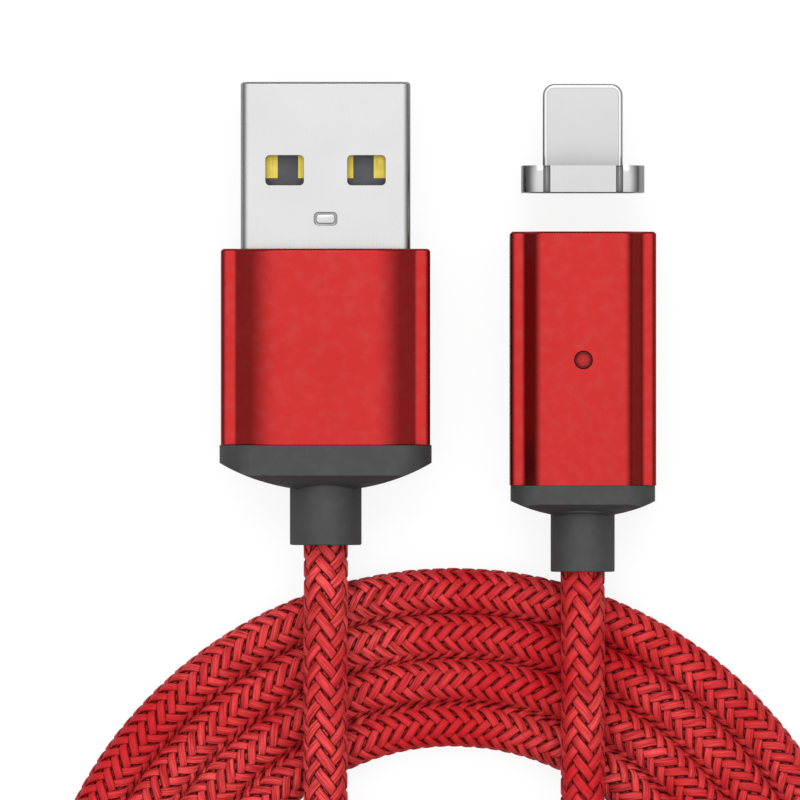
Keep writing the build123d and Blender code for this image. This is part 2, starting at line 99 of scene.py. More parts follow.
def make_camera():
    """A camera that looks straight down, with +Y up the picture."""
    data = bpy.data.cameras.new("camera")
    data.lens = LENS
    data.sensor_width = SENSOR
    distance = VIEW_WIDTH * LENS / SENSOR
    data.clip_start = distance / 10
    data.clip_end = distance * 10
    camera = bpy.data.objects.new("camera", data)
    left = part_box("usb_end_cap")[0].x - LEFT_MARGIN
    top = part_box("usb_plug_shell")[1].y + TOP_MARGIN
    height = VIEW_HEIGHT_ABOVE_FLOOR + distance
    camera.location = (left + VIEW_WIDTH / 2, top - VIEW_WIDTH / 2, height)
    bpy.context.scene.collection.objects.link(camera)
    bpy.context.scene.camera = camera
    print("camera at", [round(c, 4) for c in camera.location])


make_camera()

# %% [markdown]
# ## The cord's line
#
# The cord is one soft piece that leaves the USB end, lies in a coil and comes back over the coil to the
# head.  The line it follows could be drawn as arcs, but a cord never bends that evenly.  A NURBS spline of
# order 3 through a few given points is smooth and still follows them closely.  The two leads are
# lists of points.  The turns of the coil are worked out by a loop, 16 points to a turn, because they
# follow a rule: each turn is a circle or an ellipse a little larger than the one inside it, and all of
# them fan apart towards -Y, where nothing holds them together.

# %% The two leads
CORD_DIAMETER = 3.13 * MM

lead_usb_route = [
    (-0.00793, -0.01542, 0.0042),
    (-0.00793, -0.01713, 0.0042),
    (-0.00793, -0.02003, 0.00478),
    (-0.00795, -0.02573, 0.00493),
    (-0.00793, -0.03723, 0.0049),
    (-0.00795, -0.04343, 0.00486),
    (-0.00793, -0.0469, 0.0036),
]
lead_head_route = [
    (-0.01605, -0.0787, 0.0019),
    (-0.00985, -0.083, 0.003),
    (-0.00245, -0.084, 0.0047),
    (0.00425, -0.0807, 0.00498),
    (0.00855, -0.0745, 0.00493),
    (0.0102, -0.067, 0.0049),
    (0.01035, -0.0591, 0.00482),
    (0.01025, -0.0517, 0.0046),
    (0.010265, -0.0448, 0.0046),
    (0.01025, -0.0385, 0.00487),
    (0.010265, -0.0289, 0.00495),
    (0.01027, -0.0227, 0.0049),
    (0.010265, -0.0201, 0.00466),
    (0.010265, -0.01855, 0.00412),
    (0.010265, -0.01732, 0.0041),
]
print(f"{len(lead_usb_route)} points from the USB end, {len(lead_head_route)} to the head")

# %% The turns of the coil
COIL_CENTRE = (0.0011, -0.04725)
POINTS_PER_TURN = 16
FIRST_ANGLE = 190  # degrees, where the USB lead joins the coil
LAST_ANGLE = 2380
TURN_START = 150  # the angle at which the cord begins to climb out to the next turn
CLIMB = 240  # degrees that it takes
LANDING = (0.0023, 0.0017)  # heights of the first two points, where the lead comes down

# Each turn: its centre's x and y from the coil's centre, its half width and half height, and how far it
# fans out towards -Y.
turns = [
    (0.00064, -0.001, 0.0096, 0.0095, 0.0008),
    (-0.0001, -0.0025, 0.0121, 0.01035, 0.0011),
    (-0.00012, -0.0025, 0.01525, 0.01345, 0.0019),
    (0, 0, 0.0191, 0.0191, 0.0035),
    (0, 0, 0.02225, 0.02225, 0.0046),
    (0, 0, 0.02539, 0.02539, 0.0059),
    (0, 0, 0.02853, 0.02853, 0.0073),
    (0, 0, 0.0317, 0.0317, 0.0088),
]


def eased(t):
    """0 to 1 with a soft start and a soft end, for a number or an array; cut off outside 0 and 1."""
    t = np.clip(t, 0, 1)
    return t * t * (3 - 2 * t)


def coil_point(angle):
    """The control point of the coil at this many degrees, counted on through all its turns."""
    turn = int((angle - TURN_START) // 360)
    share = eased((angle - TURN_START - 360 * turn) / CLIMB)
    x, y, half_width, half_height, fan = (
        a * (1 - share) + b * share for a, b in zip(turns[turn], turns[turn + 1])
    )
    f = math.radians(angle)
    # An order 3 spline runs inside its points, so they stand further out than the cord itself.
    outside = 1 / math.cos(math.pi / POINTS_PER_TURN)
    u = x + half_width * outside * math.cos(f)
    v = y + half_height * outside * math.sin(f) - fan * max(0, -math.sin(f)) ** 2
    return [COIL_CENTRE[0] + u, COIL_CENTRE[1] + v, CORD_DIAMETER / 2]


def coil_points():
    """Every control point of the coil, from where the USB lead comes down to where the head's goes up."""
    step = 360 / POINTS_PER_TURN
    count = round((LAST_ANGLE - FIRST_ANGLE) / step)
    angles = [FIRST_ANGLE + step * i for i in range(count + 1)]
    points = [coil_point(angle) for angle in angles if angle <= LAST_ANGLE]
    for point, height in zip(points, LANDING):
        point[2] = height
    return points


coil = coil_points()
print(f"{len(coil)} points in the coil")

# %% One spline through all of them
def spline_object(name, points):
    """A NURBS curve of order 3 with these control points, starting and ending at the outer ones."""
    data = bpy.data.curves.new(name, "CURVE")
    data.dimensions = "3D"
    data.resolution_u = 24
    spline = data.splines.new("NURBS")
    spline.points.add(len(points) - 1)
    for place, point in zip(spline.points, points):
        place.co = (*point, 1)
    spline.order_u = 3
    spline.use_endpoint_u = True
    curve = bpy.data.objects.new(name, data)
    bpy.context.scene.collection.objects.link(curve)
    bpy.context.view_layer.update()
    return curve


def line_of(curve):
    """The points along a curve that has no thickness."""
    mesh = bpy.data.meshes.new_from_object(curve)
    line = np.empty(len(mesh.vertices) * 3)
    mesh.vertices.foreach_get("co", line)
    bpy.data.meshes.remove(mesh)
    return line.reshape(-1, 3)


def lengths_along(line):
    """How far each point of a line is from its start."""
    steps = np.linalg.norm(np.diff(line, axis=0), axis=1)
    return np.concatenate(([0], np.cumsum(steps)))


route = lead_usb_route + coil + lead_head_route
route_curve = spline_object("cord_line", route)
cord_line = line_of(route_curve)
bpy.data.objects.remove(route_curve)
cord_length = lengths_along(cord_line)[-1]
print(f"{len(route)} control points, {len(cord_line)} points read back, {cord_length:.4f} m of cord")

# %% [markdown]
# ## The braid
#
# Sixteen flat yarns wrap the cord, eight winding to the left and eight to the right.  Each goes over two
# of the others and then under two, which stands as rows of slanting floats: a herringbone.  A bump
# texture on a tube would look right only from far off, so each yarn is modelled.
#
# If the crossings along the cord are counted 0, 1, 2 ..., sixteen to a full turn of a yarn, then left-hand
# yarn i is on top at crossing n when (2 i + n) mod 4 is 0 or 1, and right-hand yarn j when (2 j - n) mod 4
# is 2 or 3.  A cosine with a period of 4 crossings has those signs, and cutting off its peaks keeps the
# yarn flat on top and quick in between.

# %% Sizes of the braid
YARNS = 8  # each way
LAY_LEAD = 10.9 * MM  # cord length in which a yarn turns once, where the leads lie straight
LAY_COIL = 8.0 * MM  # and in the coil, where the braid is pushed together
LEAD_LENGTH = 20 * MM
LAY_CHANGE = 16 * MM  # length over which one lay becomes the other
YARN_THICKNESS = 0.3 * MM
YARN_FILL = 0.95  # the yarn's width over the space between two
WAVE = 0.13 * MM  # how far a yarn rises and sinks
MEAN_RADIUS = CORD_DIAMETER / 2 - WAVE - 0.42 * YARN_THICKNESS
CORE_RADIUS = 1.12 * MM
STEPS_PER_CROSSING = 3
TUCK = 0.4 * MM  # how far the braid runs on into each strain relief
SPREAD = 0.05  # share by which the cord is wider than high in the coil, where turns press together
ROLL = 0.3  # radians, how far the braid rolls about the cord to either side in the coil
ROLL_SPACING = 420  # stations over which that roll changes
ROLL_SEED = 8
YARN_SEED = 3
BRAID_TURN = -11.25  # degrees, how far the whole braid is turned about the cord
FLATTEN = 1.4  # over 1, the peaks of a yarn's wave are cut off flat
SQUEEZE = 0.05  # share by which a yarn is narrower where it dives
CORE_CORNERS = 14
# How unevenly a yarn is laid: a size, and the number of stations over which it changes.
turn_wander = (0.025, 11)  # radians about the cord
radius_wander = (0.015 * MM, 7)
width_wander = (0.05, 9)  # share of the yarn's width
# A yarn's section, as shares of its width and of its thickness: flat below, crowned above.
yarn_section = ((-0.5, -0.12), (-0.3, 0.4), (0.3, 0.4), (0.5, -0.12))


def coiled_share(s):
    """0 where the leads lie straight, 1 in the coil."""
    end = np.minimum(s, cord_length - s)
    return eased((end - LEAD_LENGTH) / LAY_CHANGE)


def lay_at(s):
    """The braid's lay at each distance along the cord."""
    return LAY_LEAD + (LAY_COIL - LAY_LEAD) * coiled_share(s)


def smooth_noise(rng, count, spacing):
    """A curve of this many points that wanders between about -1 and 1, slowly."""
    knots = rng.uniform(-1, 1, count // spacing + 3)
    place = np.arange(count) / spacing
    low = place.astype(int)
    t = eased(place - low)
    return knots[low] * (1 - t) + knots[low + 1] * t


# %% Places along the cord
def stations(line):
    """Where the braid is worked out: crossing numbers, distances, centres and headings."""
    along = lengths_along(line)
    fine = np.linspace(0, along[-1], 20000)
    crossings = crossing_numbers(fine)
    n = np.arange(0, crossings[-1], 1 / STEPS_PER_CROSSING)
    s = np.interp(n, crossings, fine)
    centre = np.stack([np.interp(s, along, line[:, i]) for i in range(3)], axis=1)
    heading = np.gradient(centre, axis=0)
    heading /= np.linalg.norm(heading, axis=1)[:, None]
    # the braid runs on a little inside the strain reliefs
    centre[0] -= heading[0] * TUCK
    centre[-1] += heading[-1] * TUCK
    return n, s, centre, heading


def crossing_numbers(s):
    """The crossing number at each distance along the cord."""
    rate = 2 * YARNS / lay_at(s)
    return np.concatenate(([0], np.cumsum((rate[1:] + rate[:-1]) / 2 * np.diff(s))))


def side_and_up(heading):
    """Left of the heading, and the upward direction square to it: the cord is never upright."""
    left = np.cross([0, 0, 1], heading)
    left /= np.linalg.norm(left, axis=1)[:, None]
    return left, np.cross(heading, left)


crossing, distance, centre, heading = stations(cord_line)
left, up = side_and_up(heading)
lay = lay_at(distance)
roll_noise = smooth_noise(np.random.default_rng(ROLL_SEED), len(distance), ROLL_SPACING)
roll = ROLL * coiled_share(distance) * roll_noise
print(f"{crossing[-1]:.0f} crossings, {len(crossing)} stations")

# %% The yarns
UV_STEP = 3.0  # each yarn has its own strip of the UV map, this far from the one before


def wander(rng, count, how):
    size, spacing = how
    return size * smooth_noise(rng, count, spacing)


def yarn_rings(direction, number, rng):
    """The section of one yarn at every station, as an array of stations x corners x 3."""
    count = len(crossing)
    phase = 2 * number + direction * crossing
    lift = direction * np.cos(math.pi * (phase - 0.5) / 2)
    lift = np.clip(FLATTEN * lift, -1, 1)
    turn = 2 * math.pi * (number / YARNS + direction * crossing / (2 * YARNS))
    turn += math.radians(BRAID_TURN) + roll + wander(rng, count, turn_wander)
    radius = MEAN_RADIUS + WAVE * lift + wander(rng, count, radius_wander)
    upward, leftward = np.cos(turn), np.sin(turn)
    outward = upward[:, None] * up + leftward[:, None] * left
    spread = 1 + SPREAD * coiled_share(distance)
    place = centre + radius[:, None] * (upward[:, None] * up + (leftward * spread)[:, None] * left)
    ahead = np.gradient(place, axis=0)
    ahead /= np.linalg.norm(ahead, axis=1)[:, None]
    across = np.cross(ahead, outward)
    across /= np.linalg.norm(across, axis=1)[:, None]
    outward = np.cross(across, ahead)
    girth = 2 * math.pi * MEAN_RADIUS
    width = YARN_FILL * girth / YARNS * lay / np.hypot(lay, girth)
    width = width * (1 - SQUEEZE + SQUEEZE * lift + wander(rng, count, width_wander))
    rings = [
        place + (x * width)[:, None] * across + z * YARN_THICKNESS * outward
        for x, z in yarn_section
    ]
    return np.stack(rings, axis=1)


def skin(rings, first_vertex):
    """Quads that join each ring of corners to the next."""
    count, corners = rings.shape[:2]
    k, j = np.meshgrid(np.arange(count - 1), np.arange(corners), indexing="ij")
    after = (j + 1) % corners
    quads = np.stack(
        [k * corners + j, k * corners + after, (k + 1) * corners + after, (k + 1) * corners + j], axis=-1
    )
    return quads.reshape(-1, 4) + first_vertex


def yarn_uv(rings, faces, number):
    """For each corner of a yarn's faces: millimetres along it, and how far across its own strip."""
    run = lengths_along(rings.mean(axis=1)) / MM
    u = np.repeat(run[:, None], 4, axis=1)
    v = np.repeat(np.array([[0, 0.25, 0.75, 1]]), len(run), axis=0) + UV_STEP * number
    return np.stack([u, v], axis=-1).reshape(-1, 2)[faces].reshape(-1, 2)


def braid_mesh():
    """All sixteen yarns: their corners, their faces and their UV map."""
    rng = np.random.default_rng(YARN_SEED)
    vertices, quads, uvs = [], [], []
    total = 0
    for direction in (1, -1):
        for number in range(YARNS):
            rings = yarn_rings(direction, number, rng)
            faces = skin(rings, 0)
            vertices.append(rings.reshape(-1, 3))
            quads.append(faces + total)
            uvs.append(yarn_uv(rings, faces, number + YARNS * (direction > 0)))
            total += len(vertices[-1])
    return np.concatenate(vertices), np.concatenate(quads), np.concatenate(uvs)


def core_rings():
    """Round sections of the plain core that the yarns wrap."""
    rows = slice(None, None, STEPS_PER_CROSSING)
    turn = 2 * math.pi * np.arange(CORE_CORNERS) / CORE_CORNERS
    cos, sin = np.cos(turn)[None, :, None], np.sin(turn)[None, :, None]
    return centre[rows, None, :] + CORE_RADIUS * (cos * up[rows, None, :] + sin * left[rows, None, :])


def mesh_object(name, vertices, quads):
    """A mesh object from arrays of corners and quads, shaded smooth."""
    mesh = bpy.data.meshes.new(name)
    mesh.vertices.add(len(vertices))
    mesh.vertices.foreach_set("co", vertices.astype(np.float32).ravel())
    mesh.loops.add(quads.size)
    mesh.loops.foreach_set("vertex_index", quads.astype(np.int32).ravel())
    mesh.polygons.add(len(quads))
    mesh.polygons.foreach_set("loop_start", np.arange(0, quads.size, 4, dtype=np.int32))
    mesh.update(calc_edges=True)
    mesh.polygons.foreach_set("use_smooth", np.ones(len(quads), bool))
    made = bpy.data.objects.new(name, mesh)
    bpy.context.scene.collection.objects.link(made)
    return made


yarn_vertices, yarn_quads, yarn_uvs = braid_mesh()
core = core_rings()
core_quads = skin(core, len(yarn_vertices))
cord = mesh_object(
    "braided_cord",
    np.concatenate([yarn_vertices, core.reshape(-1, 3)]),
    np.concatenate([yarn_quads, core_quads]),
)
layer = cord.data.uv_layers.new(name="yarn")
all_uvs = np.concatenate([yarn_uvs, np.zeros((core_quads.size, 2))])
layer.data.foreach_set("uv", all_uvs.astype(np.float32).ravel())
is_core = np.arange(len(yarn_quads) + len(core_quads)) >= len(yarn_quads)
cord.data.polygons.foreach_set("material_index", is_core.astype(np.int32))
print(f"{len(yarn_quads)} faces on the yarns, {len(core_quads)} on the core")

# %% Say what the cord is
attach(cord, "cable")
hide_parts("cord_lead_usb", "cord_lead_head", "cord_coil", "cord_inner_loops")

# %% [markdown]
# ## Rounded edges
#
# No edge on a made thing is perfectly sharp, and it is the thin bright line along a rounded edge that says
# metal or plastic.  The CAD pieces have their large rounds, but not these small breaks.  They could be
# added in CAD, at the cost of a heavy model, or faked in the material, which fails on an outline.  Here
# each visible piece is copied, its triangles are welded and merged back into flat faces, and a Bevel
# modifier cuts the edges.  A Weighted Normal modifier then keeps the large faces flat in the light.

# %% A softened copy of a CAD piece
WELD_WITHIN = 0.001 * MM
FLAT_WITHIN = 0.8  # degrees between triangles that are taken for one flat face
EDGE_FROM = 28  # degrees between two faces that are taken for an edge
BEVEL_SEGMENTS = 2


def soften(name, width):
    """A copy of this CAD piece with its sharp edges rounded, shown instead of it."""
    source = nodes[name]
    mesh = source.data.copy()
    for attribute in ("custom_normal", "sharp_edge", "sharp_face"):
        if attribute in mesh.attributes:
            mesh.attributes.remove(mesh.attributes[attribute])
    shape = bmesh.new()
    shape.from_mesh(mesh)
    bmesh.ops.remove_doubles(shape, verts=shape.verts, dist=WELD_WITHIN)
    bmesh.ops.dissolve_limit(
        shape, angle_limit=math.radians(FLAT_WITHIN), verts=shape.verts, edges=shape.edges
    )
    for face in shape.faces:
        face.smooth = True
    shape.to_mesh(mesh)
    shape.free()
    piece = bpy.data.objects.new(f"{name}_soft", mesh)
    piece.matrix_world = source.matrix_world
    bpy.context.scene.collection.objects.link(piece)
    bevel = piece.modifiers.new("edges", "BEVEL")
    bevel.width = width
    bevel.segments = BEVEL_SEGMENTS
    bevel.limit_method = "ANGLE"
    bevel.angle_limit = math.radians(EDGE_FROM)
    piece.modifiers.new("flats", "WEIGHTED_NORMAL")
    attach(piece, source["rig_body"])
    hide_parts(name)
    return piece


slot_of = {part["node"]: part["material_slot"] for part in frame["record"]["subparts"]}
edge_widths = {  # mm
    "usb_plug_shell": 0.04,
    "usb_sleeve": 0.06,
    "usb_shell_collar": 0.05,
    "usb_end_cap": 0.08,
    "usb_strain_relief": 0.04,
    "head_sleeve": 0.06,
    "head_end_cap": 0.08,
    "head_strain_relief": 0.04,
    "contact_carrier": 0.04,
    "tip_base": 0.03,
    "tip_tongue_frame": 0.03,
}
softened = {name: soften(name, width * MM) for name, width in edge_widths.items()}
print(f"{len(softened)} softened pieces")

# %% [markdown]
# ## The springs behind the pins
#
# Each sprung contact has a tiny coil spring between its collar and the floor of its barrel.  A spring like
# this has a closed turn at both ends, so that it stands straight, and open turns in between.  It is wound
# here as rings of corners round a helix whose pitch changes.  In the real cable it gets shorter as its pin
# is pressed.

# %% Winding a spring
SPRING_WIRE = 0.08 * MM
OPEN_TURNS = 7
RINGS_PER_TURN = 16
WIRE_CORNERS = 6


def spring_rings(low, high):
    """Rings of a spring whose axis is along Y and which fills this box."""
    full = 2 * math.pi
    t = np.linspace(0, 1, (OPEN_TURNS + 2) * RINGS_PER_TURN)
    turn = full * (OPEN_TURNS + 2) * t
    closed = SPRING_WIRE  # a closed turn climbs by the wire's own thickness
    climb = (high.y - low.y - SPRING_WIRE - 2 * closed) / OPEN_TURNS
    pitch = np.where((turn < full) | (turn > full * (OPEN_TURNS + 1)), closed, climb)
    y = np.concatenate(([0], np.cumsum((pitch[1:] + pitch[:-1]) / 2 * np.diff(turn) / full)))
    radius = (high.x - low.x - SPRING_WIRE) / 2
    middle = np.array([(low.x + high.x) / 2, low.y + SPRING_WIRE / 2, (low.z + high.z) / 2])
    outward = np.stack([np.cos(turn), 0 * turn, np.sin(turn)], axis=1)
    path = middle + radius * outward + y[:, None] * np.array([0, 1, 0])
    ahead = np.gradient(path, axis=0)
    ahead /= np.linalg.norm(ahead, axis=1)[:, None]
    aside = np.cross(ahead, outward)
    wire = np.full(len(t), SPRING_WIRE / 2)
    wire[0] = wire[-1] = 0  # drawn to a point, which closes the wire's ends
    corner = full * np.arange(WIRE_CORNERS) / WIRE_CORNERS
    cos, sin = np.cos(corner)[None, :, None], np.sin(corner)[None, :, None]
    return path[:, None] + wire[:, None, None] * (cos * outward[:, None] + sin * aside[:, None])


def wind_spring(i):
    """The spring of pin i, wound to fill the CAD spring's box and shown on its body instead of it."""
    name = f"pin_spring_{i}"
    low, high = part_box(name)
    rings = spring_rings(low, high)
    spring = mesh_object(f"{name}_wound", rings.reshape(-1, 3), skin(rings, 0))
    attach(spring, nodes[name]["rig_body"])
    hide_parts(name)
    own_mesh(spring)
    return spring


springs = [wind_spring(i) for i in range(1, 6)]
print(f"{len(springs)} springs of {len(springs[0].data.polygons)} faces")

# %% [markdown]
# ## Finishes
#
# A finish is a graph of nodes.  Most of the finishes here need the same few things: colour that drifts a
# little, grain, edges that handling has polished, dust where a face looks up, and shade deep in a
# crevice.  Each of those is a node group, built once and placed in every material that needs it with its
# own values.  A few helpers keep the graphs short to read.

# %% Helpers for node graphs
def add(tree, kind, wires=None, **settings):
    """A node with these settings, its inputs fed by sockets or set to values."""
    node = tree.nodes.new(kind)
    for name, value in settings.items():
        setattr(node, name, value)
    for socket, source in (wires or {}).items():
        feed(tree, node.inputs[socket], source)
    return node


def feed(tree, target, source):
    """Links an input to a socket, or sets it to a value."""
    if isinstance(source, bpy.types.NodeSocket):
        tree.links.new(source, target)
    else:
        target.default_value = source


def calculated(tree, operation, *values, clamp=False):
    """The output of a Math node."""
    node = add(tree, "ShaderNodeMath", dict(enumerate(values)), operation=operation, use_clamp=clamp)
    return node.outputs[0]


def ranged(tree, value, low, high, first=0.0, last=1.0):
    """The output of a Map Range node: first where the value is low, last where it is high."""
    wires = {0: value, 1: low, 2: high, 3: first, 4: last}
    return add(tree, "ShaderNodeMapRange", wires).outputs[0]


def set_stops(ramp, stops):
    """Gives a colour ramp these stops, each a place and a colour."""
    for where, _ in stops[1:-1]:
        ramp.elements.new(where)
    for element, (where, colour) in zip(ramp.elements, stops):
        element.position = where
        element.color = colour


def mixed(tree, share, first, second):
    """The output of a colour Mix node: the second colour where share is 1."""
    node = add(tree, "ShaderNodeMix", data_type="RGBA")
    for socket, source in ((0, share), (6, first), (7, second)):
        feed(tree, node.inputs[socket], source)
    return node.outputs[2]


KINDS = {
    "number": "NodeSocketFloat",
    "colour": "NodeSocketColor",
    "vector": "NodeSocketVector",
}


def new_group(name, inputs, outputs):
    """An empty node group: inputs are (label, kind, default), outputs (label, kind)."""
    tree = bpy.data.node_groups.new(name, "ShaderNodeTree")
    for label, kind, default in inputs:
        socket = tree.interface.new_socket(label, in_out="INPUT", socket_type=KINDS[kind])
        socket.default_value = default
    for label, kind in outputs:
        tree.interface.new_socket(label, in_out="OUTPUT", socket_type=KINDS[kind])
    return tree, tree.nodes.new("NodeGroupInput").outputs, tree.nodes.new("NodeGroupOutput").inputs


def use(tree, group, **values):
    """Places a node group in a graph, feeds its inputs and returns its outputs."""
    node = add(tree, "ShaderNodeGroup", node_tree=group)
    for label, value in values.items():
        feed(tree, node.inputs[label.replace("_", " ").capitalize()], value)
    return node.outputs


# %% Grain: fine noise, which a stretch turns into brushed lines
def make_grain():
    inputs = [("Size", "number", 0.1), ("Stretch", "vector", (1, 1, 1)), ("Detail", "number", 3)]
    tree, given, out = new_group("grain", inputs, [("Height", "number")])
    place_on = add(tree, "ShaderNodeTexCoord").outputs["Object"]
    stretched = add(
        tree, "ShaderNodeVectorMath", {0: place_on, 1: given["Stretch"]}, operation="MULTIPLY"
    )
    scale = calculated(tree, "DIVIDE", 1 / MM, given["Size"])
    wires = {"Vector": stretched.outputs[0], "Scale": scale, "Detail": given["Detail"]}
    feed(tree, out["Height"], add(tree, "ShaderNodeTexNoise", wires).outputs[0])
    return tree


grain = make_grain()
print("grain:", [socket.name for socket in grain.interface.items_tree])

# %% Drift: one colour wandering slowly into another
def make_drift():
    inputs = [
        ("Colour", "colour", (0.5, 0.5, 0.5, 1)),
        ("Second", "colour", (0.4, 0.4, 0.4, 1)),
        ("Size", "number", 3.0),
    ]
    tree, given, out = new_group("drift", inputs, [("Colour", "colour")])
    height = use(tree, grain, size=given["Size"], detail=2.0)["Height"]
    share = ranged(tree, height, 0.35, 0.65)
    feed(tree, out["Colour"], mixed(tree, share, given["Colour"], given["Second"]))
    return tree


drift = make_drift()
print("drift:", [socket.name for socket in drift.interface.items_tree])

# %% Edge wear: a mask along the edges, broken up by noise
def make_edge_wear():
    inputs = [("Width", "number", 0.05), ("Broken", "number", 0.5)]
    tree, given, out = new_group("edge wear", inputs, [("Mask", "number")])
    reach = calculated(tree, "MULTIPLY", given["Width"], MM)
    rounded = add(tree, "ShaderNodeBevel", {"Radius": reach}, samples=4).outputs[0]
    flat = add(tree, "ShaderNodeNewGeometry").outputs["Normal"]
    product = add(tree, "ShaderNodeVectorMath", {0: rounded, 1: flat}, operation="DOT_PRODUCT")
    same = product.outputs["Value"]
    edge = ranged(tree, same, 0.99, 0.85)
    noise = use(tree, grain, size=0.6, detail=4.0)["Height"]
    patches = ranged(tree, noise, given["Broken"], 0.75)
    feed(tree, out["Mask"], calculated(tree, "MULTIPLY", edge, patches, clamp=True))
    return tree


edge_wear = make_edge_wear()
print("edge wear:", [socket.name for socket in edge_wear.interface.items_tree])

# %% Dust: a pale veil on the faces that look up
DUST_COLOUR = (0.5, 0.47, 0.44, 1)


def make_dust():
    inputs = [("Colour", "colour", (0.5, 0.5, 0.5, 1)), ("Amount", "number", 0.1)]
    tree, given, out = new_group("dust", inputs, [("Colour", "colour"), ("Mask", "number")])
    normal = add(tree, "ShaderNodeNewGeometry").outputs["Normal"]
    up_share = add(tree, "ShaderNodeSeparateXYZ", {0: normal}).outputs["Z"]
    specks = use(tree, grain, size=0.9, detail=6.0)["Height"]
    cloud = ranged(tree, specks, 0.45, 0.8)
    mask = calculated(tree, "MULTIPLY", calculated(tree, "MAXIMUM", up_share, 0), cloud)
    mask = calculated(tree, "MULTIPLY", mask, given["Amount"], clamp=True)
    feed(tree, out["Mask"], mask)
    feed(tree, out["Colour"], mixed(tree, mask, given["Colour"], DUST_COLOUR))
    return tree


dust = make_dust()
print("dust:", [socket.name for socket in dust.interface.items_tree])

# %% Crevices: a mask that is 1 deep in a groove or behind an edge, where painted shade goes
def make_crevice():
    inputs = [("Reach", "number", 0.5), ("Open", "number", 0.6), ("Closed", "number", 0.2)]
    tree, given, out = new_group("crevice", inputs, [("Mask", "number")])
    reach = calculated(tree, "MULTIPLY", given["Reach"], MM)
    sky_share = add(tree, "ShaderNodeAmbientOcclusion", {"Distance": reach}, samples=8).outputs["AO"]
    feed(tree, out["Mask"], ranged(tree, sky_share, given["Open"], given["Closed"]))
    return tree


crevice = make_crevice()
print("crevice:", [socket.name for socket in crevice.interface.items_tree])

# %% [markdown]
# ## One recipe, many finishes
#
# Anodised aluminium, stamped steel, gold plate and moulded plastic are told apart by their values, not by
# different graphs: how much they are metal, how fine the grain is and which way it runs, what shows where
# an edge is worn.  So one recipe takes those values.  Gloss goes up and down with the same grain that
# raises the surface, because a bump that doesn't touch the gloss looks printed on.

# %% The recipe
def base_finish(name, colour, second, metallic=0.0, gloss=(0.3, 0.4), drift_size=3.0, grain_size=0.1,
                stretch=(1, 1, 1), depth=0.002, wear=None, wear_width=0.06, dusty=0.0,
                painted_shade=None, painted_shade_reach=0.3, painted_shade_from=(0.8, 0.2), **settings):
    """A material.  gloss is its lowest and highest roughness, depth the grain's height in mm, wear the
    colour of a worn edge, and the colour given for painted shade is painted deep in its grooves and
    recesses."""
    material = bpy.data.materials.new(name)
    material.use_nodes = True
    tree = material.node_tree
    shader = tree.nodes["Principled BSDF"]
    paint = use(tree, drift, colour=(*colour, 1), second=(*second, 1), size=drift_size)["Colour"]
    if wear:
        worn = use(tree, edge_wear, width=wear_width)["Mask"]
        paint = mixed(tree, worn, paint, (*wear, 1))
    # Painted shade: where an occlusion mask finds little open sky, deep in a groove or recess, the colour
    # turns to the shade colour.
    if painted_shade:
        deep = use(tree, crevice, reach=painted_shade_reach, open=painted_shade_from[0], closed=painted_shade_from[1])["Mask"]
        paint = mixed(tree, deep, paint, (*painted_shade, 1))
    if dusty:
        paint = use(tree, dust, colour=paint, amount=dusty)["Colour"]
    height = use(tree, grain, size=grain_size, stretch=stretch)["Height"]
    rough = ranged(tree, height, 0.3, 0.7, *gloss)
    bump = add(tree, "ShaderNodeBump", {"Height": height, "Distance": depth * MM, "Strength": 1.0})
    feed(tree, shader.inputs["Base Color"], paint)
    feed(tree, shader.inputs["Roughness"], rough)
    feed(tree, shader.inputs["Normal"], bump.outputs[0])
    shader.inputs["Metallic"].default_value = metallic
    for label, value in settings.items():
        shader.inputs[label.replace("_", " ")].default_value = value
    return material


finishes = {}

# %% [markdown]
# ## Metals
#
# The sleeves are aluminium, blasted to a fine matt grain and dyed red: the dye sits in clear oxide, so
# the metal's own reflection is red.  Where an edge is worn the bare metal begins to show through.  The
# plug's shell is rolled steel with faint lines along it, and the tip's steel is polished almost clear.

# %% Anodised sleeves and the steel parts
ALONG_Y = (1, 0.03, 1)  # brushed lines that run along Y

finishes["red_anodised"] = base_finish(
    "red_anodised", (0.295, 0.0175, 0.017), (0.285, 0.0165, 0.016), metallic=1.0, gloss=(0.26, 0.33),
    drift_size=8.0, grain_size=0.05, stretch=(1, 0.3, 1), depth=0.0003, wear=(0.42, 0.09, 0.08),
    wear_width=0.05, dusty=0.02,
)
# Painted shade: the steel goes near black deep in the stamped groove and down the walls of the windows.
finishes["plug_steel"] = base_finish(
    "plug_steel", (0.347, 0.347, 0.347), (0.334, 0.334, 0.334), metallic=1.0, gloss=(0.24, 0.29),
    drift_size=5.0, grain_size=0.12, stretch=ALONG_Y, depth=0.00015, wear=(0.55, 0.55, 0.55),
    painted_shade=(0.02, 0.02, 0.02),
)
finishes["tip_steel"] = base_finish(
    "tip_steel", (0.32, 0.32, 0.32), (0.305, 0.305, 0.305), metallic=1.0, gloss=(0.1, 0.18),
    drift_size=3.0, grain_size=0.15, stretch=(0.1, 1, 1), depth=0.0004, wear=(0.5, 0.5, 0.5),
)
finishes["tongue_steel"] = base_finish(
    "tongue_steel", (0.42, 0.42, 0.42), (0.4, 0.4, 0.4), metallic=1.0, gloss=(0.15, 0.25),
    grain_size=0.1, depth=0.0005, wear=(0.55, 0.55, 0.55), wear_width=0.04,
)
finishes["magnet_nickel"] = base_finish(
    "magnet_nickel", (0.42, 0.40, 0.37), (0.38, 0.36, 0.34), metallic=1.0, gloss=(0.15, 0.3),
    grain_size=0.2, depth=0.001, wear=(0.5, 0.48, 0.45),
)
finishes["spring_steel"] = base_finish(
    "spring_steel", (0.35, 0.34, 0.33), (0.28, 0.27, 0.26), metallic=1.0, gloss=(0.2, 0.4),
    drift_size=0.5, grain_size=0.03, depth=0.0006,
)
